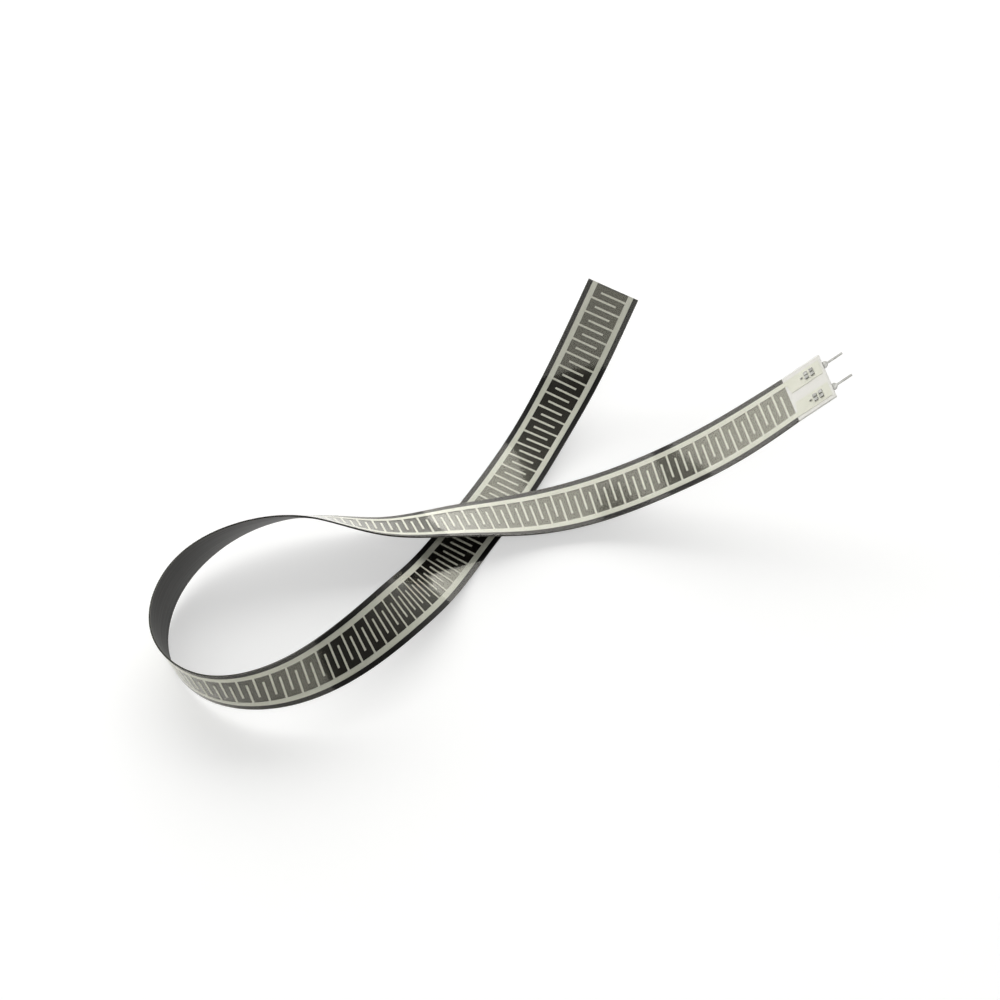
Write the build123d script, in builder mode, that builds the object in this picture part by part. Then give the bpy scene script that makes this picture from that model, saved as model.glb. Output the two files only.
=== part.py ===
from build123d import *

import os
from math import ceil, cos, radians, sin
from typing import NamedTuple

import numpy as np

# Force sensing resistor, long strip type, lying bent into an open loop
#
# Two clear films hold a printed circuit between them. The lower film carries the
# carbon sensing ink. The upper film carries two silver combs whose fingers lie
# between each other. A black adhesive rail along each edge keeps the films apart.
# At one end the strip has a pale tail with two crimped solder contacts.
#
# Millimetres, Z up. The origin is on the table, at the middle of the area the bent
# strip takes up. Distances along the strip start where the sensing area meets the
# tail and grow towards the free end. Across the strip, plus is the left side of
# someone who walks that way on the printed face.

# Strip
strip_width = 15.24
sensing_length = 405.5
tail_length = 12.0

# Layers. The two prints are drawn thicker than a screen leaves them, so that their faces
# stay apart in a mesh. The whole strip keeps its real thickness.
film_thickness = 0.1
spacer_thickness = 0.23
ink_thickness = 0.08
trace_thickness = 0.12
bond_line = 0.01

# Printed pattern
rail_width = 1.35
bus_width = 1.5
bus_clearance = 0.05
finger_pitch = 4.2
finger_width = 0.55
finger_tip_gap = 2.0
cut_margin = 0.5
cut_depth = 0.6
ink_end_margin = 0.3

# Contacts
contact_pitch = 8.0
contact_sheet = 0.2
contact_width = 2.2
contact_start = 4.6
contact_clearance = 0.04
shoulder_length = 1.2
pin_width = 0.62
pin_length = 4.8
claw_length = 1.1
claw_gap = 0.35
claw_places = (6.7, 8.5)
nose_place = 5.2
nose_size = 0.7
slot_clearance = 0.06
pad_width = 4.6
pad_start = 1.2
pad_end_margin = 0.8

# Way of the strip over the table
station_spacing = 20.0
section_spacing = 5.0


class Station(NamedTuple):
    """A place on the middle line of the strip's underside.

    lift is the height of the lower edge over the table. lean is the turn of the
    strip about its own length: 0 has the printed face up, 90 stands on edge.
    """

    x: float
    y: float
    lift: float
    lean: float


# One station every station_spacing, from the tail, round the loop, to the free end
stations = (
    Station(72.0, 26.3, 35.5, 2),
    Station(57.5, 21.3, 22.5, -4),
    Station(41.5, 16.3, 12.0, -3),
    Station(24.0, 10.8, 4.5, -2),
    Station(5.5, 4.3, 2.0, 5),
    Station(-13.0, -2.7, 2.5, 19),
    Station(-32.0, -8.7, 2.5, 34),
    Station(-51.5, -11.7, 5.0, 50),
    Station(-69.5, -20.2, 4.5, 69),
    Station(-82.0, -35.2, 1.5, 93),
    Station(-82.5, -54.7, 0.12, 107),
    Station(-68.5, -67.7, 2.0, 102),
    Station(-49.5, -66.7, 6.5, 76),
    Station(-34.0, -54.7, 10.0, 49),
    Station(-23.5, -38.2, 8.0, 32),
    Station(-16.5, -21.2, 2.0, 15),
    Station(-9.0, -3.2, 0.36, 0),
    Station(-0.5, 14.8, 0.46, 0),
    Station(7.5, 32.8, 3.0, -5),
    Station(15.0, 48.8, 12.5, 3),
    Station(21.5, 63.3, 24.5, 4),
)

# Heights over the underside of the strip
spacer_bottom = film_thickness + bond_line
spacer_top = spacer_bottom + spacer_thickness
top_film_bottom = spacer_top + bond_line
strip_thickness = top_film_bottom + film_thickness
trace_bottom = spacer_top - trace_thickness
trace_height = trace_bottom + trace_thickness / 2

# Places across the strip
bus_outside = strip_width / 2 - rail_width - bus_clearance
bus_inside = bus_outside - bus_width
finger_pairs = int(sensing_length / finger_pitch - 0.5)


def bend_rates(values):
    """Second derivatives of the smooth curve through evenly spaced values, free at both ends."""
    count = len(values)
    system = np.eye(count)
    wanted = np.zeros_like(values)
    for row in range(1, count - 1):
        system[row, row - 1 : row + 2] = (1, 4, 1)
        wanted[row] = 6 * (values[row + 1] - 2 * values[row] + values[row - 1])
    return np.linalg.solve(system, wanted / station_spacing**2)


route = np.array([(s.x, s.y, s.lift + strip_width / 2 * abs(sin(radians(s.lean))), s.lean) for s in stations])
route_rates = bend_rates(route)
route_length = station_spacing * (len(stations) - 1)


def strip_frame(distance):
    """Middle of the underside, direction along the strip and direction across it."""
    inside = min(max(distance, 0.0), route_length)
    first = min(int(inside / station_spacing), len(stations) - 2)
    b = inside / station_spacing - first
    a = 1 - b
    value = a * route[first] + b * route[first + 1]
    bow = (a**3 - a) * route_rates[first] + (b**3 - b) * route_rates[first + 1]
    value = value + bow * station_spacing**2 / 6
    slope = (route[first + 1] - route[first]) / station_spacing
    turn = (1 - 3 * a**2) * route_rates[first] + (3 * b**2 - 1) * route_rates[first + 1]
    slope = slope + turn * station_spacing / 6
    middle = Vector(*(value[:3] + slope[:3] * (distance - inside)))
    along = Vector(*slope[:3]).normalized()
    level = Vector(-along.Y, along.X, 0).normalized()
    lean = radians(value[3])
    across = level * cos(lean) + along.cross(level) * sin(lean)
    return middle, along, across


def section_plane(distance):
    """Plane square to the strip: X across it, Y through its thickness."""
    middle, along, across = strip_frame(distance)
    return Plane(origin=middle, x_dir=across, z_dir=along)


def point(distance, place, height):
    """A point of the strip: place is across from the middle, height is over the underside."""
    middle, along, across = strip_frame(distance)
    return middle + across * place + along.cross(across) * height


def section_places(start, end):
    """Evenly spaced distances from start to end, both included."""
    count = ceil((end - start) / section_spacing) + 1
    return [start + (end - start) * i / (count - 1) for i in range(count)]


def bent_layer(start, end, places, heights):
    """A layer that follows the bend: four smooth edges, straight across between them, closed at both ends."""
    stops = section_places(start, end)
    (left, right), (bottom, top) = places, heights
    corners = [(left, bottom), (right, bottom), (right, top), (left, top)]
    edges = [Edge.make_spline([point(stop, *corner) for stop in stops], parameters=stops) for corner in corners]
    sides = [Face.make_surface_from_curves(edge, other) for edge, other in zip(edges, edges[1:] + edges[:1])]
    ends = [Face(Wire.make_polygon([point(stop, *corner) for corner in corners])) for stop in (start, end)]
    return Solid(Shell(sides + ends))


def gap_plane(start, end):
    """Plane level with the silver halfway between two places along the strip."""
    middle, along, across = strip_frame((start + end) / 2)
    normal = along.cross(across)
    return Plane(origin=middle + normal * trace_height, x_dir=across, z_dir=normal)


def gap_corners(start, end, places, plane):
    """Corners of the open space between two fingers, drawn on its plane."""
    outline = [(start, places[0]), (start, places[1]), (end, places[1]), (end, places[0])]
    corners = [plane.to_local_coords(point(distance, place, trace_height)) for distance, place in outline]
    return [(corner.X, corner.Y) for corner in corners]


# The tail is flat, so everything in it is drawn on one plane, with Y away from the loop
tail_middle, tail_along, tail_across = strip_frame(0)
tail_plane = Plane(origin=tail_middle, x_dir=tail_across, z_dir=tail_along.cross(tail_across))

# Slots that the claws and the nose of each contact go through
claw_offset = (contact_width - contact_sheet) / 2
claw_slots = [
    (side * contact_pitch / 2 + edge * claw_offset, place)
    for side in (-1, 1)
    for edge in (-1, 1)
    for place in claw_places
]
nose_slots = [(side * contact_pitch / 2, nose_place) for side in (-1, 1)]


# One cutter for all the slots, used by every layer in the tail
with BuildPart() as slot_cutter:
    with BuildSketch(tail_plane):
        with Locations(*claw_slots):
            Rectangle(contact_sheet + 2 * slot_clearance, claw_length + 2 * slot_clearance)
        with Locations(*nose_slots):
            Rectangle(contact_sheet + 2 * slot_clearance, nose_size + 2 * slot_clearance)
    extrude(amount=2 * strip_thickness, both=True)

os.makedirs("parts", exist_ok=True)

# Clear polyester films, the full length of the strip
for name, bottom in (("base_film", 0), ("top_film", top_film_bottom)):
    with BuildPart() as film:
        edges = (-strip_width / 2, strip_width / 2)
        add(bent_layer(0, sensing_length, edges, (bottom, bottom + film_thickness)))
        with BuildSketch(section_plane(0)):
            with Locations((0, bottom + film_thickness / 2)):
                Rectangle(strip_width, film_thickness)
        extrude(amount=-tail_length)
        add(slot_cutter.part, mode=Mode.SUBTRACT)
    film.part.label = name
    export_step(film.part, f"parts/{name}.step")

# Carbon sensing ink, printed on the lower film between the two rails
with BuildPart() as sensing_ink:
    ink_heights = (spacer_bottom, spacer_bottom + ink_thickness)
    add(bent_layer(0, sensing_length - ink_end_margin, (-bus_outside, bus_outside), ink_heights))
sensing_ink.part.label = "sensing_ink"
export_step(sensing_ink.part, "parts/sensing_ink.step")

# Black adhesive rails, one along each edge
rail_inside = strip_width / 2 - rail_width
for name, side in (("edge_rail_left", 1), ("edge_rail_right", -1)):
    rail_sides = sorted((side * rail_inside, side * strip_width / 2))
    with BuildPart() as edge_rail:
        add(bent_layer(0, sensing_length, rail_sides, (spacer_bottom, spacer_top)))
    edge_rail.part.label = name
    export_step(edge_rail.part, f"parts/{name}.step")

# Silver combs: one printed sheet each, with the gaps between the fingers cut away
# up to the bus line. The bus runs on into the tail and widens to the contact's pad.
finger_tip = finger_tip_gap - bus_inside
bus_middle = (bus_outside + bus_inside) / 2
pad_length = tail_length - pad_start - pad_end_margin
neck = [
    (bus_inside, pad_start / 2),
    (bus_outside, pad_start / 2),
    (contact_pitch / 2 + pad_width / 2, pad_start),
    (contact_pitch / 2 - pad_width / 2, pad_start),
]

for name, side, first_finger in (("comb_left", 1, finger_pitch / 2), ("comb_right", -1, finger_pitch)):
    finger_places = [first_finger + i * finger_pitch for i in range(finger_pairs)]
    gap_starts = [-cut_margin] + [place + finger_width / 2 for place in finger_places]
    gap_ends = [place - finger_width / 2 for place in finger_places] + [sensing_length + cut_margin]
    gap_sides = (side * (finger_tip - cut_margin), side * bus_inside)
    sheet_sides = sorted((side * finger_tip, side * bus_outside))
    with BuildPart() as comb:
        add(bent_layer(0, sensing_length, sheet_sides, (trace_bottom, spacer_top)))
        for start, end in zip(gap_starts, gap_ends):
            plane = gap_plane(start, end)
            with BuildSketch(plane):
                with BuildLine():
                    Polyline(*gap_corners(start, end, gap_sides, plane), close=True)
                make_face()
        extrude(amount=cut_depth, both=True, mode=Mode.SUBTRACT)
        with BuildSketch(section_plane(0)):
            with Locations((side * bus_middle, trace_height)):
                Rectangle(bus_width, trace_thickness)
        extrude(amount=-pad_start)
        with BuildSketch(tail_plane.offset(trace_bottom)):
            with BuildLine():
                Polyline(*[(side * x, y) for x, y in neck], close=True)
            make_face()
            with Locations((side * contact_pitch / 2, pad_start + pad_length / 2)):
                Rectangle(pad_width, pad_length)
        extrude(amount=trace_thickness)
        add(slot_cutter.part, mode=Mode.SUBTRACT)
    comb.part.label = name
    export_step(comb.part, f"parts/{name}.step")

# Pale adhesive that closes the tail under the pads
tail_seal_thickness = trace_bottom - bond_line - spacer_bottom
with BuildPart() as tail_seal:
    with BuildSketch(tail_plane.offset(spacer_bottom)):
        with Locations((0, bond_line + (tail_length - bond_line) / 2)):
            Rectangle(strip_width, tail_length - bond_line)
    extrude(amount=tail_seal_thickness)
    add(slot_cutter.part, mode=Mode.SUBTRACT)
tail_seal.part.label = "tail_seal"
export_step(tail_seal.part, "parts/tail_seal.step")

# Crimped solder contacts
plate_top = -contact_clearance
plate_bottom = plate_top - contact_sheet
leaf_bottom = strip_thickness + contact_clearance
leaf_top = leaf_bottom + contact_sheet
plate_end = tail_length + shoulder_length
leaf_width = (contact_width - claw_gap) / 2

for name, side in (("contact_left", 1), ("contact_right", -1)):
    middle = side * contact_pitch / 2
    claw_middles = [(middle + edge * claw_offset, place) for edge in (-1, 1) for place in claw_places]
    leaf_offset = (contact_width - leaf_width) / 2
    leaf_middles = [(middle + edge * leaf_offset, place) for edge in (-1, 1) for place in claw_places]
    with BuildPart() as contact:
        with BuildSketch(tail_plane.offset(plate_bottom)) as plate:
            with Locations((middle, (contact_start + plate_end) / 2)):
                Rectangle(contact_width, plate_end - contact_start)
            chamfer(plate.vertices(), length=contact_width / 4)
            with Locations((middle, plate_end + pin_length / 2 - contact_sheet)):
                Rectangle(pin_width, pin_length + 2 * contact_sheet)
        extrude(amount=contact_sheet)
        with BuildSketch(tail_plane.offset(plate_bottom)):
            with Locations(*claw_middles):
                Rectangle(contact_sheet, claw_length)
            with Locations((middle, nose_place)):
                Rectangle(contact_sheet, nose_size)
        extrude(amount=leaf_top - plate_bottom)
        with BuildSketch(tail_plane.offset(leaf_bottom)):
            with Locations(*leaf_middles):
                Rectangle(leaf_width, claw_length)
        extrude(amount=contact_sheet)
    contact.part.label = name
    export_step(contact.part, f"parts/{name}.step")
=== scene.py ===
"""Blender scene of a long strip force sensing resistor that lies bent into an open loop.

The strip is made flat first, with x along it, y across it and z through its layers. Each
flat piece is then laid along the bend, so every layer follows the same way in space.
"""

import logging
import math
from dataclasses import dataclass
from enum import Enum
from typing import Any, Callable, Iterable, Optional

import bpy
import numpy as np
from mathutils import Matrix, Vector


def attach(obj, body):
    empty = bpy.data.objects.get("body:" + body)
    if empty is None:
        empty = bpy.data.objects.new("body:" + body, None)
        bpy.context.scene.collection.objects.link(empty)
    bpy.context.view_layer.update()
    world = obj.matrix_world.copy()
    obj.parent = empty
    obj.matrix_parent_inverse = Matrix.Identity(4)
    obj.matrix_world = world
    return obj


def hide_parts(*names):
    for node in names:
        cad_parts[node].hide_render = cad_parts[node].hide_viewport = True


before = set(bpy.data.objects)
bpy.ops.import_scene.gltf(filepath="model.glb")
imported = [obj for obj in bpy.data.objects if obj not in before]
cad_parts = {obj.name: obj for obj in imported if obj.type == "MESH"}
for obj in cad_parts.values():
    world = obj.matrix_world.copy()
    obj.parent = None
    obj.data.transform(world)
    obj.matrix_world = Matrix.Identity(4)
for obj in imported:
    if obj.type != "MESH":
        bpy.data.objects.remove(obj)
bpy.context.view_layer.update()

MM = 0.001
ROOT = "root"
FLAT_PLACE = "flat_place"

# Faces whose normal rises less than this from the flat strip are side walls
WALL_LEVEL = 0.5
# Edges sharper than this many degrees stay sharp
SHARP_ANGLE = 40
# Most of a noise pattern's values lie between these two
PATTERN_LOW = 0.3
PATTERN_HIGH = 0.7
# The Mix node's colour sockets, which share their names with its other ones
MIX_FIRST = 6
MIX_SECOND = 7
MIX_RESULT = 2
WHITE = (1.0, 1.0, 1.0, 1.0)

log = logging.getLogger("strip_sensor")


class Side(Enum):
    """The two long sides of the strip, as seen by someone who walks from the tail to the free end."""

    LEFT = 1
    RIGHT = -1


def linear_colour(code: str) -> tuple[float, float, float, float]:
    """Turns an sRGB colour into the linear values that shaders use.

    Args:
        code: six hex digits, such as "c8c9b4".

    Returns:
        Red, green, blue and an alpha of 1.
    """
    channels = [int(code[i : i + 2], 16) / 255 for i in (0, 2, 4)]
    linear = [c / 12.92 if c <= 0.04045 else ((c + 0.055) / 1.055) ** 2.4 for c in channels]
    return (linear[0], linear[1], linear[2], 1.0)


def add_node(
    tree: bpy.types.NodeTree,
    kind: str,
    settings: Optional[dict[str, Any]] = None,
    inputs: Optional[dict[Any, Any]] = None,
) -> bpy.types.Node:
    """Adds a node with its settings, its constants and its links.

    Args:
        tree: the node tree it goes into.
        kind: the node's type name.
        settings: property name to value.
        inputs: input name or number to a constant or to the socket that feeds it.

    Returns:
        The new node.
    """
    node = tree.nodes.new(kind)
    for name, value in (settings or {}).items():
        setattr(node, name, value)
    for name, value in (inputs or {}).items():
        if isinstance(value, bpy.types.NodeSocket):
            tree.links.new(value, node.inputs[name])
        else:
            node.inputs[name].default_value = value
    return node


def new_material(name: str) -> tuple[bpy.types.Material, bpy.types.NodeTree, bpy.types.Node]:
    """Makes an empty material.

    Args:
        name: the material's name.

    Returns:
        The material, its node tree and its output node.
    """
    material = bpy.data.materials.new(name)
    material.use_nodes = True
    tree = material.node_tree
    tree.nodes.clear()
    return material, tree, tree.nodes.new("ShaderNodeOutputMaterial")


def strip_pattern(
    tree: bpy.types.NodeTree, size_mm: tuple[float, float], detail: float
) -> bpy.types.NodeSocket:
    """An uneven pattern that lies on the flat strip, so that it follows the bend.

    Args:
        tree: the material's node tree.
        size_mm: how long and how wide a patch is, along and across the strip.
        detail: how many finer patterns are laid over the first.

    Returns:
        The pattern's value, from 0 to 1.
    """
    place = add_node(tree, "ShaderNodeAttribute", {"attribute_name": FLAT_PLACE})
    scaled = add_node(
        tree,
        "ShaderNodeVectorMath",
        {"operation": "MULTIPLY"},
        {0: place.outputs["Vector"], 1: (1 / size_mm[0], 1 / size_mm[1], 1)},
    )
    pattern = add_node(
        tree,
        "ShaderNodeTexNoise",
        {},
        {"Vector": scaled.outputs["Vector"], "Scale": 1.0, "Detail": detail},
    )
    return pattern.outputs["Fac"]


def stretched(value: bpy.types.NodeSocket, low: float, high: float) -> dict[str, Any]:
    """What a Map Range node needs to spread a pattern over a range.

    Args:
        value: the pattern, from 0 to 1.
        low: the result where the pattern is weak.
        high: the result where the pattern is strong.

    Returns:
        Input names and their values.
    """
    return {"Value": value, "From Min": PATTERN_LOW, "From Max": PATTERN_HIGH, "To Min": low, "To Max": high}


def drifting_colour(
    tree: bpy.types.NodeTree, pattern: bpy.types.NodeSocket, first: str, second: str
) -> bpy.types.NodeSocket:
    """A colour that drifts between two close ones.

    Args:
        tree: the material's node tree.
        pattern: how near it is to the second colour, from 0 to 1.
        first: six hex digits of an sRGB colour.
        second: six hex digits of an sRGB colour.

    Returns:
        The colour.
    """
    share = add_node(tree, "ShaderNodeMapRange", {}, stretched(pattern, 0.0, 1.0))
    colour = add_node(
        tree,
        "ShaderNodeMix",
        {"data_type": "RGBA"},
        {
            "Factor": share.outputs["Result"],
            MIX_FIRST: linear_colour(first),
            MIX_SECOND: linear_colour(second),
        },
    )
    return colour.outputs[MIX_RESULT]


@dataclass(frozen=True)
class ClearPolyester:
    """Biaxially drawn polyester film, clear as glass, with a calendered glossy face.

    Only what it mirrors shows: faint from above and strong at a low angle. The printed
    layers show through it. Its inner face is bonded to the print and mirrors nothing.
    """

    name: str = "clear_polyester_film"
    tint: str = "fbf8ee"
    straight_mirror: float = 0.045
    roughness: float = 0.06
    ripple_mm: tuple[float, float] = (18.0, 18.0)
    ripple_depth: float = 0.00009
    ripple_strength: float = 0.5
    even_facing: float = 0.5
    edge_power: float = 5.0

    def build(self) -> bpy.types.Material:
        """Makes the film's material.

        Returns:
            A mirror whose strength follows the angle, over nothing.
        """
        material, tree, output = new_material(self.name)
        bump = add_node(
            tree,
            "ShaderNodeBump",
            {},
            {
                "Height": strip_pattern(tree, self.ripple_mm, 1.0),
                "Strength": self.ripple_strength,
                "Distance": self.ripple_depth,
            },
        )
        tilt = add_node(tree, "ShaderNodeLayerWeight", {}, {"Blend": self.even_facing})
        power = add_node(
            tree,
            "ShaderNodeMath",
            {"operation": "POWER"},
            {0: tilt.outputs["Facing"], 1: self.edge_power},
        )
        mirror = add_node(
            tree,
            "ShaderNodeMath",
            {"operation": "MULTIPLY_ADD"},
            {0: power.outputs[0], 1: 1 - self.straight_mirror, 2: self.straight_mirror},
        )
        side = add_node(tree, "ShaderNodeNewGeometry")
        outer = add_node(
            tree, "ShaderNodeMath", {"operation": "SUBTRACT"}, {0: 1.0, 1: side.outputs["Backfacing"]}
        )
        strength = add_node(
            tree,
            "ShaderNodeMath",
            {"operation": "MULTIPLY"},
            {0: mirror.outputs[0], 1: outer.outputs[0]},
        )
        shine = add_node(
            tree,
            "ShaderNodeBsdfPrincipled",
            {},
            {
                "Base Color": linear_colour(self.tint),
                "Metallic": 1.0,
                "Roughness": self.roughness,
                "Alpha": strength.outputs[0],
                "Normal": bump.outputs["Normal"],
            },
        )
        tree.links.new(shine.outputs["BSDF"], output.inputs["Surface"])
        return material


@dataclass(frozen=True)
class PlainFinish:
    """A solid surface with two close colours, an uneven shine and a fine grain.

    The pattern sizes are in millimetres along and across the strip. A real print's grain is
    finer than shows here, so it is drawn as coarse as it needs to be seen.
    """

    name: str
    colour: str
    second_colour: str
    roughness: tuple[float, float]
    patch_mm: tuple[float, float] = (6.0, 2.0)
    grain_mm: tuple[float, float] = (0.3, 0.3)
    grain_depth: float = 0.000002
    grain_strength: float = 0.6
    shine: float = 0.5
    shine_tint: str = "ffffff"

    def build(self) -> bpy.types.Material:
        """Makes the material.

        Returns:
            A plain opaque material whose colour, shine and grain vary a little.
        """
        material, tree, output = new_material(self.name)
        patches = strip_pattern(tree, self.patch_mm, 3.0)
        grain = strip_pattern(tree, self.grain_mm, 2.0)
        bump = add_node(
            tree,
            "ShaderNodeBump",
            {},
            {"Height": grain, "Strength": self.grain_strength, "Distance": self.grain_depth},
        )
        dullness = add_node(tree, "ShaderNodeMapRange", {}, stretched(grain, *self.roughness))
        shader = add_node(
            tree,
            "ShaderNodeBsdfPrincipled",
            {},
            {
                "Base Color": drifting_colour(tree, patches, self.colour, self.second_colour),
                "Roughness": dullness.outputs["Result"],
                "Specular IOR Level": self.shine,
                "Specular Tint": linear_colour(self.shine_tint),
                "Normal": bump.outputs["Normal"],
            },
        )
        tree.links.new(shader.outputs["BSDF"], output.inputs["Surface"])
        return material


@dataclass(frozen=True)
class BackFinish:
    """Clear film with carbon behind it: a matte dark back that turns milky under the tail.

    The drawn film shows as faint streaks along the strip.
    """

    name: str = "carbon_backed_film"
    dark: str = "343330"
    dark_second: str = "3b3a36"
    tail: str = "d2d1c9"
    streak_mm: tuple[float, float] = (40.0, 0.8)
    grain_mm: tuple[float, float] = (1 / 3, 1 / 3)
    grain_depth: float = 0.000004
    grain_strength: float = 0.5
    roughness: tuple[float, float] = (0.42, 0.58)
    shine: float = 0.35

    def build(self) -> bpy.types.Material:
        """Makes the material.

        Returns:
            A matte material that is dark along the sensing area and pale along the tail.
        """
        material, tree, output = new_material(self.name)
        streaks = strip_pattern(tree, self.streak_mm, 3.0)
        grain = strip_pattern(tree, self.grain_mm, 2.0)
        bump = add_node(
            tree,
            "ShaderNodeBump",
            {},
            {"Height": grain, "Strength": self.grain_strength, "Distance": self.grain_depth},
        )
        place = add_node(tree, "ShaderNodeAttribute", {"attribute_name": FLAT_PLACE})
        parts = add_node(tree, "ShaderNodeSeparateXYZ", {}, {0: place.outputs["Vector"]})
        on_tail = add_node(
            tree, "ShaderNodeMath", {"operation": "LESS_THAN"}, {0: parts.outputs["X"], 1: 0.0}
        )
        colour = add_node(
            tree,
            "ShaderNodeMix",
            {"data_type": "RGBA"},
            {
                "Factor": on_tail.outputs[0],
                MIX_FIRST: drifting_colour(tree, streaks, self.dark, self.dark_second),
                MIX_SECOND: linear_colour(self.tail),
            },
        )
        dullness = add_node(tree, "ShaderNodeMapRange", {}, stretched(streaks, *self.roughness))
        shader = add_node(
            tree,
            "ShaderNodeBsdfPrincipled",
            {},
            {
                "Base Color": colour.outputs[MIX_RESULT],
                "Roughness": dullness.outputs["Result"],
                "Specular IOR Level": self.shine,
                "Normal": bump.outputs["Normal"],
            },
        )
        tree.links.new(shader.outputs["BSDF"], output.inputs["Surface"])
        return material


@dataclass(frozen=True)
class TinnedMetal:
    """Stamped copper alloy with a tin plate: bright, a little uneven, with soft mirror light."""

    name: str = "tinned_contact_metal"
    colour: str = "91918d"
    second_colour: str = "7d7d79"
    roughness: tuple[float, float] = (0.28, 0.42)
    patch_mm: float = 1.2

    def build(self) -> bpy.types.Material:
        """Makes the material.

        Returns:
            A metal whose colour and roughness change in small clouds.
        """
        material, tree, output = new_material(self.name)
        place = add_node(tree, "ShaderNodeTexCoord")
        scaled = add_node(
            tree,
            "ShaderNodeVectorMath",
            {"operation": "SCALE"},
            {0: place.outputs["Object"], "Scale": 1 / (self.patch_mm * MM)},
        )
        clouds = add_node(
            tree,
            "ShaderNodeTexNoise",
            {},
            {"Vector": scaled.outputs["Vector"], "Scale": 1.0, "Detail": 3.0},
        )
        pattern = clouds.outputs["Fac"]
        dullness = add_node(tree, "ShaderNodeMapRange", {}, stretched(pattern, *self.roughness))
        shader = add_node(
            tree,
            "ShaderNodeBsdfPrincipled",
            {},
            {
                "Base Color": drifting_colour(tree, pattern, self.colour, self.second_colour),
                "Metallic": 1.0,
                "Roughness": dullness.outputs["Result"],
            },
        )
        tree.links.new(shader.outputs["BSDF"], output.inputs["Surface"])
        return material


@dataclass(frozen=True)
class Finishes:
    """Every finish on the part, made once."""

    film: bpy.types.Material
    cut_edge: bpy.types.Material
    back: bpy.types.Material
    carbon: bpy.types.Material
    adhesive: bpy.types.Material
    silver: bpy.types.Material
    milky: bpy.types.Material
    metal: bpy.types.Material


def make_finishes() -> Finishes:
    """Makes the materials of the part.

    Returns:
        One material for each finish.
    """
    # Polyester cut with a die: the broken edge scatters the light, so it looks paler than the film
    cut_edge = PlainFinish("cut_film_edge", "6a685d", "57554b", (0.35, 0.5), grain_mm=(0.5, 0.2))
    # Screen-printed carbon on the lower film: nearly black, and glossy through the top film
    carbon = PlainFinish(
        "carbon_sensing_ink",
        "1d1a17",
        "161411",
        (0.13, 0.16),
        patch_mm=(14.0, 5.0),
        grain_mm=(1.5, 1.0),
        grain_depth=0.0000004,
        shine=1.0,
        shine_tint="f4f3da",
    )
    # Black acrylic adhesive, wetted out against both films: deep black with little shine of its own
    adhesive = PlainFinish(
        "black_acrylic_adhesive",
        "151413",
        "1b1a18",
        (0.4, 0.5),
        patch_mm=(8.0, 1.0),
        grain_depth=0.000001,
        shine=0.15,
    )
    # Screen-printed polymer ink filled with silver: pale, a little green, with a satin grain
    silver = PlainFinish(
        "printed_silver_ink",
        "dfdfd0",
        "d6d7c6",
        (0.4, 0.55),
        patch_mm=(5.0, 1.5),
        grain_mm=(0.25, 0.25),
        shine=0.3,
    )
    # White dielectric print and clear adhesive that close the tail: milky and soft
    milky = PlainFinish(
        "milky_tail_adhesive", "e6e5e0", "dfded7", (0.45, 0.6), patch_mm=(3.0, 3.0), shine=0.3
    )
    return Finishes(
        film=ClearPolyester().build(),
        cut_edge=cut_edge.build(),
        back=BackFinish().build(),
        carbon=carbon.build(),
        adhesive=adhesive.build(),
        silver=silver.build(),
        milky=milky.build(),
        metal=TinnedMetal().build(),
    )


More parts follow.
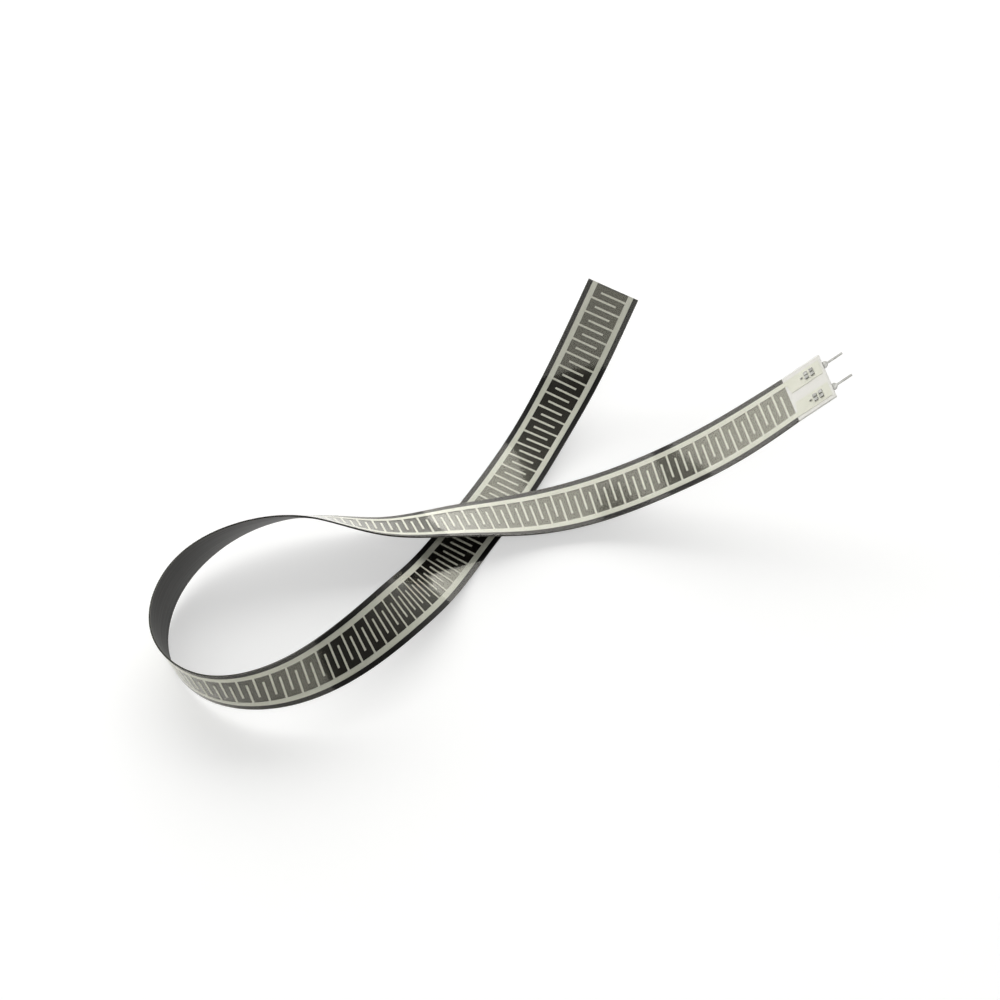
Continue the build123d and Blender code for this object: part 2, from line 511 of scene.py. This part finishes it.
@dataclass(frozen=True)
class Bend:
    """The way of the strip over the table, in millimetres.

    Each station is a place on the middle line of the underside: x, y, the height of the
    lower edge over the table, and the turn of the strip about its own length in degrees.
    """

    width: float
    spacing: float = 20.0
    stations: tuple[tuple[float, float, float, float], ...] = (
        (72.0, 26.3, 35.5, 2),
        (57.5, 21.3, 22.5, -4),
        (41.5, 16.3, 12.0, -3),
        (24.0, 10.8, 4.5, -2),
        (5.5, 4.3, 2.0, 5),
        (-13.0, -2.7, 2.5, 19),
        (-32.0, -8.7, 2.5, 34),
        (-51.5, -11.7, 5.0, 50),
        (-69.5, -20.2, 4.5, 69),
        (-82.0, -35.2, 1.5, 93),
        (-82.5, -54.7, 0.12, 107),
        (-68.5, -67.7, 2.0, 102),
        (-49.5, -66.7, 6.5, 76),
        (-34.0, -54.7, 10.0, 49),
        (-23.5, -38.2, 8.0, 32),
        (-16.5, -21.2, 2.0, 15),
        (-9.0, -3.2, 0.36, 0),
        (-0.5, 14.8, 0.46, 0),
        (7.5, 32.8, 3.0, -5),
        (15.0, 48.8, 12.5, 3),
        (21.5, 63.3, 24.5, 4),
    )

    def route(self) -> np.ndarray:
        """The stations with the height of the middle line instead of the lower edge's."""
        route = np.array(self.stations, float)
        route[:, 2] += self.width / 2 * np.abs(np.sin(np.radians(route[:, 3])))
        return route

    def bend_rates(self, route: np.ndarray) -> np.ndarray:
        """Second derivatives of the smooth curve through the stations, free at both ends.

        Args:
            route: one row for each station.

        Returns:
            One row of second derivatives for each station.
        """
        count = len(route)
        system = np.eye(count)
        wanted = np.zeros_like(route)
        for row in range(1, count - 1):
            system[row, row - 1 : row + 2] = (1, 4, 1)
            wanted[row] = 6 * (route[row + 1] - 2 * route[row] + route[row - 1])
        return np.linalg.solve(system, wanted / self.spacing**2)

    def lay(self, flat: np.ndarray) -> np.ndarray:
        """Moves points of the flat strip to their places along the bend.

        Args:
            flat: distance along, place across and height over the underside, in millimetres.

        Returns:
            The same points in the row frame, in millimetres.
        """
        route = self.route()
        rates = self.bend_rates(route)
        last = len(route) - 1
        distance = flat[:, 0]
        inside = np.clip(distance, 0.0, self.spacing * last)
        first = np.minimum((inside / self.spacing).astype(int), last - 1)
        b = (inside / self.spacing - first)[:, None]
        a = 1 - b
        # A cubic curve between the two stations on either side, straight on past the last ones
        near, far = route[first], route[first + 1]
        rate, next_rate = rates[first], rates[first + 1]
        value = a * near + b * far + ((a**3 - a) * rate + (b**3 - b) * next_rate) * self.spacing**2 / 6
        turn = (1 - 3 * a**2) * rate + (3 * b**2 - 1) * next_rate
        slope = ((far - near) / self.spacing + turn * self.spacing / 6)[:, :3]
        middle = value[:, :3] + slope * (distance - inside)[:, None]
        # The strip's own directions there: along it, across it and out of its printed face
        along = slope / np.linalg.norm(slope, axis=1)[:, None]
        level = np.stack([-along[:, 1], along[:, 0], np.zeros(len(along))], 1)
        level /= np.linalg.norm(level, axis=1)[:, None]
        lean = np.radians(value[:, 3])[:, None]
        across = level * np.cos(lean) + np.cross(along, level) * np.sin(lean)
        normal = np.cross(along, across)
        return middle + across * flat[:, 1:2] + normal * flat[:, 2:3]


def deselect_all() -> None:
    """Clears the selection, which still holds the nodes that were loaded."""
    bpy.ops.object.select_all(action="DESELECT")


def read_points(piece: bpy.types.Object) -> np.ndarray:
    """The piece's vertices, one row each."""
    points = np.zeros(len(piece.data.vertices) * 3)
    piece.data.vertices.foreach_get("co", points)
    return points.reshape(-1, 3)


def write_points(piece: bpy.types.Object, points: np.ndarray) -> None:
    """Moves the piece's vertices to new places."""
    piece.data.vertices.foreach_set("co", np.ascontiguousarray(points).ravel())
    piece.data.update()


def steps(start: float, end: float, longest: float) -> np.ndarray:
    """Evenly spaced values from start to end, no further apart than the longest step."""
    return np.linspace(start, end, int(math.ceil((end - start) / longest)) + 1)


def flat_sheet(name: str, stops: np.ndarray, places: np.ndarray, height: float) -> bpy.types.Object:
    """Adds a flat grid whose lines lie at chosen places.

    Args:
        name: the piece's name.
        stops: distances along the strip of the cross lines, in millimetres.
        places: places across the strip of the long lines, in millimetres.
        height: height over the underside, in millimetres.

    Returns:
        The grid, still flat and measured in millimetres.
    """
    deselect_all()
    columns, rows = len(stops) - 1, len(places) - 1
    bpy.ops.mesh.primitive_grid_add(x_subdivisions=columns, y_subdivisions=rows, size=1.0)
    sheet = bpy.context.active_object
    sheet.name = name
    sheet.data.name = name
    points = read_points(sheet)
    column = np.rint((points[:, 0] + 0.5) * columns).astype(int)
    row = np.rint((points[:, 1] + 0.5) * rows).astype(int)
    write_points(sheet, np.stack([stops[column], places[row], np.full(len(points), height)], 1))
    return sheet


def cut_faces(sheet: bpy.types.Object, unwanted: Callable[[np.ndarray], np.ndarray]) -> None:
    """Deletes faces of a flat sheet in edit mode.

    Args:
        sheet: the flat sheet.
        unwanted: says for each face centre, one row each, whether the face goes.
    """
    centres = np.zeros(len(sheet.data.polygons) * 3)
    sheet.data.polygons.foreach_get("center", centres)
    chosen = unwanted(centres.reshape(-1, 3))
    bpy.ops.object.mode_set(mode="EDIT")
    bpy.ops.mesh.select_mode(type="FACE")
    bpy.ops.mesh.select_all(action="DESELECT")
    bpy.ops.object.mode_set(mode="OBJECT")
    sheet.data.polygons.foreach_set("select", chosen)
    bpy.ops.object.mode_set(mode="EDIT")
    bpy.ops.mesh.delete(type="FACE")
    bpy.ops.object.mode_set(mode="OBJECT")


def thicken(sheet: bpy.types.Object, thickness: float) -> None:
    """Gives a flat sheet its thickness, upwards from where it lies.

    Args:
        sheet: the flat sheet.
        thickness: in millimetres.
    """
    wall = sheet.modifiers.new("thickness", "SOLIDIFY")
    wall.thickness = thickness
    wall.offset = 1.0
    wall.use_even_offset = False
    bpy.ops.object.modifier_apply(modifier=wall.name)


def edge_faces(piece: bpy.types.Object) -> np.ndarray:
    """For each face of a flat piece, True if it is a side wall."""
    normals = np.zeros(len(piece.data.polygons) * 3)
    piece.data.polygons.foreach_get("normal", normals)
    return np.abs(normals.reshape(-1, 3)[:, 2]) < WALL_LEVEL


def dress(piece: bpy.types.Object, face_finish: bpy.types.Material, wall_finish: bpy.types.Material) -> None:
    """Gives a flat piece one finish on its faces and one on its side walls.

    Args:
        piece: the flat piece, with its thickness.
        face_finish: for the broad faces.
        wall_finish: for the side walls.
    """
    piece.data.materials.clear()
    piece.data.materials.append(face_finish)
    piece.data.materials.append(wall_finish)
    piece.data.polygons.foreach_set("material_index", edge_faces(piece).astype(np.int32))


def lay_along(piece: bpy.types.Object, bend: Bend) -> None:
    """Notes each vertex's flat place for the patterns, then lays the piece along the bend in metres.

    Args:
        piece: the flat piece, measured in millimetres.
        bend: the way that it follows.
    """
    flat = read_points(piece)
    note = piece.data.attributes.new(FLAT_PLACE, "FLOAT_VECTOR", "POINT")
    note.data.foreach_set("vector", flat.ravel())
    write_points(piece, bend.lay(flat) * MM)
    deselect_all()
    piece.select_set(True)
    bpy.context.view_layer.objects.active = piece
    bpy.ops.object.shade_smooth_by_angle(angle=math.radians(SHARP_ANGLE))


def settle(piece: bpy.types.Object, nodes: Iterable[str]) -> None:
    """Makes a finished piece part of the object and reports it.

    Args:
        piece: the finished piece.
        nodes: the CAD nodes that it stands for.
    """
    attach(piece, ROOT)
    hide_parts(*nodes)
    log.info("%s: %d faces", piece.name, len(piece.data.polygons))


@dataclass(frozen=True)
class Laminate:
    """The layers of the strip and their sizes, in millimetres."""

    width: float = 15.24
    sensing_length: float = 405.5
    tail_length: float = 12.0
    film: float = 0.1
    spacer: float = 0.23
    ink: float = 0.08
    trace: float = 0.12
    bond_line: float = 0.01
    rail_width: float = 1.35
    bus_width: float = 1.5
    bus_clearance: float = 0.05
    ink_end_margin: float = 0.3
    step: float = 1.05
    tail_step: float = 2.0
    cross_step: float = 1.6

    @property
    def spacer_bottom(self) -> float:
        """Height of the spacer's underside."""
        return self.film + self.bond_line

    @property
    def spacer_top(self) -> float:
        """Height of the spacer's top, where the silver touches the upper film."""
        return self.spacer_bottom + self.spacer

    @property
    def bus_outside(self) -> float:
        """Place of the bus line's outer edge."""
        return self.width / 2 - self.rail_width - self.bus_clearance

    @property
    def bus_inside(self) -> float:
        """Place of the bus line's inner edge."""
        return self.bus_outside - self.bus_width

    @staticmethod
    def layer(
        name: str, stops: np.ndarray, places: np.ndarray, height: float, thickness: float
    ) -> bpy.types.Object:
        """Makes one flat layer.

        Args:
            name: the piece's name.
            stops: distances of its cross lines.
            places: places of its long lines.
            height: of its underside.
            thickness: of the layer.

        Returns:
            The flat layer, in millimetres.
        """
        sheet = flat_sheet(name, stops, places, height)
        thicken(sheet, thickness)
        return sheet

    def build(self, bend: Bend, finishes: Finishes) -> None:
        """Builds both films, the carbon ink, the edge rails and the tail's adhesive.

        Args:
            bend: the way of the strip.
            finishes: the part's materials.
        """
        full = np.concatenate(
            [
                steps(-self.tail_length, 0.0, self.tail_step)[:-1],
                steps(0.0, self.sensing_length, self.step),
            ]
        )
        over_width = steps(-self.width / 2, self.width / 2, self.cross_step)
        back = self.layer("carbon_back_film", full, over_width, 0.0, self.film)
        dress(back, finishes.back, finishes.cut_edge)
        lay_along(back, bend)
        settle(back, ["base_film"])

        top = self.layer("clear_top_film", full, over_width, self.spacer_top + self.bond_line, self.film)
        dress(top, finishes.film, finishes.cut_edge)
        lay_along(top, bend)
        settle(top, ["top_film"])

        ink_stops = steps(0.0, self.sensing_length - self.ink_end_margin, self.step)
        ink_places = steps(-self.bus_outside, self.bus_outside, self.cross_step)
        ink = self.layer("carbon_sensing_field", ink_stops, ink_places, self.spacer_bottom, self.ink)
        dress(ink, finishes.carbon, finishes.carbon)
        lay_along(ink, bend)
        settle(ink, ["sensing_ink"])

        for side in Side:
            word = side.name.lower()
            rail_places = np.sort(side.value * (self.width / 2 - np.array([self.rail_width, 0.0])))
            rail_stops = steps(0.0, self.sensing_length, self.step)
            rail = self.layer(
                f"black_edge_rail_{word}", rail_stops, rail_places, self.spacer_bottom, self.spacer
            )
            dress(rail, finishes.adhesive, finishes.adhesive)
            lay_along(rail, bend)
            settle(rail, [f"edge_rail_{word}"])

        seal_stops = steps(-self.tail_length, -self.bond_line, self.tail_step)
        seal_thickness = self.spacer_top - self.trace - self.bond_line - self.spacer_bottom
        seal = self.layer("milky_tail_seal", seal_stops, over_width, self.spacer_bottom, seal_thickness)
        dress(seal, finishes.milky, finishes.milky)
        lay_along(seal, bend)
        settle(seal, ["tail_seal"])


@dataclass(frozen=True)
class SilverComb:
    """A bus line along one side, its fingers, and the pad under its contact, in millimetres."""

    side: Side
    first_finger: float
    laminate: Laminate
    pitch: float = 4.2
    finger_width: float = 0.55
    tip_gap: float = 2.0
    fingers: int = 96
    contact_place: float = 4.0
    pad_width: float = 4.6
    pad_start: float = 1.2
    pad_end: float = 11.2
    cells_between: int = 4
    cells_along_finger: int = 6

    def stops(self) -> np.ndarray:
        """Distances of the cross lines: both sides of each finger, with some between them."""
        lines = [-self.pad_end, -self.pad_start, -self.pad_start / 2, 0.0]
        for i in range(self.fingers):
            middle = self.first_finger + i * self.pitch
            before, after = middle - self.finger_width / 2, middle + self.finger_width / 2
            gap = np.linspace(lines[-1], before, self.cells_between + 1)
            lines.extend([*gap[1:], after])
        lines.extend(np.linspace(lines[-1], self.laminate.sensing_length, self.cells_between)[1:])
        return np.array(lines)

    def on_bare_ground(self, centres: np.ndarray) -> np.ndarray:
        """Says which faces of the full sheet aren't printed.

        Args:
            centres: the middle of each face of the flat sheet.

        Returns:
            True for each face between two fingers or beside the bus line in the tail.
        """
        finger = np.rint((centres[:, 0] - self.first_finger) / self.pitch)
        finger = np.clip(finger, 0, self.fingers - 1)
        off_finger = np.abs(centres[:, 0] - self.first_finger - finger * self.pitch) > self.finger_width / 2
        beside_bus = centres[:, 1] * self.side.value < self.laminate.bus_inside
        return beside_bus & off_finger

    def build(self, bend: Bend, finishes: Finishes) -> None:
        """Builds the comb as one printed sheet.

        Args:
            bend: the way of the strip.
            finishes: the part's materials.
        """
        strip = self.laminate
        word = self.side.name.lower()
        tip = self.tip_gap - strip.bus_inside
        finger_lines = np.linspace(tip, strip.bus_inside, self.cells_along_finger + 1)
        places = np.sort(self.side.value * np.append(finger_lines, strip.bus_outside))
        height = strip.spacer_top - strip.trace
        sheet = flat_sheet(f"silver_comb_{word}", self.stops(), places, height)
        cut_faces(sheet, self.on_bare_ground)
        self.widen_pad(sheet)
        thicken(sheet, strip.trace)
        dress(sheet, finishes.silver, finishes.silver)
        lay_along(sheet, bend)
        settle(sheet, [f"comb_{word}"])

    def widen_pad(self, sheet: bpy.types.Object) -> None:
        """Spreads the bus line in the tail to the width of the contact's pad.

        Args:
            sheet: the flat comb.
        """
        points = read_points(sheet)
        in_tail = points[:, 0] < -self.pad_start / 2 - self.laminate.bond_line
        outer = np.abs(points[:, 1]) > self.laminate.bus_inside + self.laminate.bond_line
        half = np.where(outer, self.pad_width / 2, -self.pad_width / 2)
        points[in_tail, 1] = (self.side.value * (self.contact_place + half))[in_tail]
        write_points(sheet, points)


@dataclass(frozen=True)
class SoftBox:
    """A rectangular lamp that shines at the middle of the table.

    place and size are in metres, and power is in watts.
    """

    name: str
    place: tuple[float, float, float]
    size: tuple[float, float]
    power: float

    def hang(self) -> None:
        """Puts the lamp in the scene."""
        data = bpy.data.lights.new(self.name, "AREA")
        data.shape = "RECTANGLE"
        data.size, data.size_y = self.size
        data.energy = self.power
        lamp = bpy.data.objects.new(self.name, data)
        lamp.location = self.place
        lamp.rotation_euler = (-Vector(self.place)).to_track_quat("-Z", "Y").to_euler()
        bpy.context.scene.collection.objects.link(lamp)


@dataclass(frozen=True)
class Studio:
    """A plain pale table top, soft light from above and the photograph's camera.

    Lengths are in metres. The sky is brightest towards bright_side and darkest away from it.
    """

    lamps: tuple[SoftBox, ...] = (
        SoftBox("back_window", (-0.165, 1.175, 0.742), (2.15, 1.45), 22.5),
        SoftBox("left_window", (-1.128, 0.455, 0.645), (0.62, 0.65), 3.0),
        SoftBox("front_soft_box", (-0.194, -1.098, 1.0), (1.8, 1.3), 7.5),
    )
    floor_size: float = 3.0
    camera_place: tuple[float, float, float] = (-0.0016, -0.4058, 0.5053)
    camera_elevation: float = 50.5
    camera_roll: float = 6.43
    camera_lens: float = 86.6
    camera_sensor: float = 36.0
    camera_reach: float = 10.0
    dark_sky: float = 0.1
    bright_sky: float = 0.85
    bright_side: tuple[float, float, float] = (-0.42, 0.75, -0.5)
    sky_spread: tuple[float, float] = (-0.5, 0.9)
    floor_colour: str = "f2f2f0"
    floor_lift: float = 1.4
    floor_haze: float = 0.45
    shadow_reach: tuple[float, float] = (0.2, 0.7)

    def build(self) -> None:
        """Builds the floor, the lamps, the world and the camera."""
        self.add_floor()
        self.add_world()
        for lamp in self.lamps:
            lamp.hang()
        self.add_camera()

    def add_floor(self) -> None:
        """Adds a white table top that keeps the object's shadow and is clear from below."""
        deselect_all()
        bpy.ops.mesh.primitive_plane_add(size=self.floor_size)
        floor = bpy.context.active_object
        floor.name = "table_top"
        material, tree, output = new_material("white_table_top")
        light_path = add_node(tree, "ShaderNodeLightPath")
        seen = add_node(
            tree,
            "ShaderNodeMath",
            {"operation": "MAXIMUM"},
            {0: light_path.outputs["Is Camera Ray"], 1: light_path.outputs["Is Glossy Ray"]},
        )
        seen_through = add_node(
            tree,
            "ShaderNodeMath",
            {"operation": "MAXIMUM"},
            {0: seen.outputs[0], 1: light_path.outputs["Is Transmission Ray"]},
        )
        plain = linear_colour(self.floor_colour)
        bright = tuple(self.floor_lift * channel for channel in plain[:3]) + (1.0,)
        colour = add_node(
            tree,
            "ShaderNodeMix",
            {"data_type": "RGBA"},
            {"Factor": seen_through.outputs[0], MIX_FIRST: plain, MIX_SECOND: bright},
        )
        lit = add_node(tree, "ShaderNodeBsdfDiffuse", {}, {"Color": colour.outputs[MIX_RESULT]})
        white = add_node(tree, "ShaderNodeEmission", {}, {"Color": WHITE, "Strength": 1.0})
        place = add_node(tree, "ShaderNodeTexCoord")
        reach = add_node(
            tree, "ShaderNodeVectorMath", {"operation": "LENGTH"}, {0: place.outputs["Object"]}
        )
        fade = add_node(
            tree,
            "ShaderNodeMapRange",
            {},
            {
                "Value": reach.outputs["Value"],
                "From Min": self.shadow_reach[0],
                "From Max": self.shadow_reach[1],
                "To Min": self.floor_haze,
                "To Max": 1.0,
            },
        )
        haze = add_node(
            tree,
            "ShaderNodeMath",
            {"operation": "MULTIPLY"},
            {0: seen_through.outputs[0], 1: fade.outputs["Result"]},
        )
        from_above = add_node(
            tree,
            "ShaderNodeMixShader",
            {},
            {0: haze.outputs[0], 1: lit.outputs["BSDF"], 2: white.outputs["Emission"]},
        )
        face = add_node(tree, "ShaderNodeNewGeometry")
        clear = add_node(tree, "ShaderNodeBsdfTransparent")
        shader = add_node(
            tree,
            "ShaderNodeMixShader",
            {},
            {0: face.outputs["Backfacing"], 1: from_above.outputs["Shader"], 2: clear.outputs["BSDF"]},
        )
        tree.links.new(shader.outputs["Shader"], output.inputs["Surface"])
        floor.data.materials.append(material)

    def add_world(self) -> None:
        """Lights the scene evenly and shows white behind the table top."""
        world = bpy.data.worlds.new("white_studio")
        bpy.context.scene.world = world
        world.use_nodes = True
        tree = world.node_tree
        tree.nodes.clear()
        light_path = add_node(tree, "ShaderNodeLightPath")
        seen = add_node(
            tree,
            "ShaderNodeMath",
            {"operation": "MAXIMUM"},
            {0: light_path.outputs["Is Camera Ray"], 1: light_path.outputs["Is Transmission Ray"]},
        )
        coordinates = add_node(tree, "ShaderNodeTexCoord")
        towards = add_node(
            tree,
            "ShaderNodeVectorMath",
            {"operation": "DOT_PRODUCT"},
            {0: coordinates.outputs["Generated"], 1: self.bright_side},
        )
        sky = add_node(
            tree,
            "ShaderNodeMapRange",
            {},
            {
                "Value": towards.outputs["Value"],
                "From Min": self.sky_spread[0],
                "From Max": self.sky_spread[1],
                "To Min": self.dark_sky,
                "To Max": self.bright_sky,
            },
        )
        level = add_node(
            tree,
            "ShaderNodeMath",
            {"operation": "MAXIMUM"},
            {0: sky.outputs["Result"], 1: seen.outputs[0]},
        )
        background = add_node(
            tree,
            "ShaderNodeBackground",
            {},
            {"Color": WHITE, "Strength": level.outputs[0]},
        )
        output = add_node(tree, "ShaderNodeOutputWorld")
        tree.links.new(background.outputs[0], output.inputs[0])

    def add_camera(self) -> None:
        """Adds the camera where the photograph was taken from."""
        data = bpy.data.cameras.new("photo_camera")
        data.lens = self.camera_lens
        data.sensor_width = self.camera_sensor
        data.clip_end = self.camera_reach
        camera = bpy.data.objects.new("photo_camera", data)
        tilt = Matrix.Rotation(math.radians(90 - self.camera_elevation), 4, "X")
        roll = Matrix.Rotation(math.radians(self.camera_roll), 4, "Z")
        camera.matrix_world = Matrix.Translation(self.camera_place) @ tilt @ roll
        bpy.context.scene.collection.objects.link(camera)
        bpy.context.scene.camera = camera


def dress_contacts(finishes: Finishes) -> None:
    """Gives the two crimped contacts their metal.

    Args:
        finishes: the part's materials.
    """
    for side in Side:
        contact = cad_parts[f"contact_{side.name.lower()}"]
        for place in contact.material_slots:
            place.material = finishes.metal
        log.info("%s: dressed", contact.name)


def main() -> None:
    """Builds the dressed part and its studio."""
    logging.basicConfig(level=logging.INFO, format="%(message)s")
    bpy.context.scene.view_settings.view_transform = "Standard"
    laminate = Laminate()
    bend = Bend(width=laminate.width)
    finishes = make_finishes()
    laminate.build(bend, finishes)
    SilverComb(Side.LEFT, first_finger=2.1, laminate=laminate).build(bend, finishes)
    SilverComb(Side.RIGHT, first_finger=4.2, laminate=laminate).build(bend, finishes)
    dress_contacts(finishes)
    Studio().build()


if __name__ == "__main__":
    main()
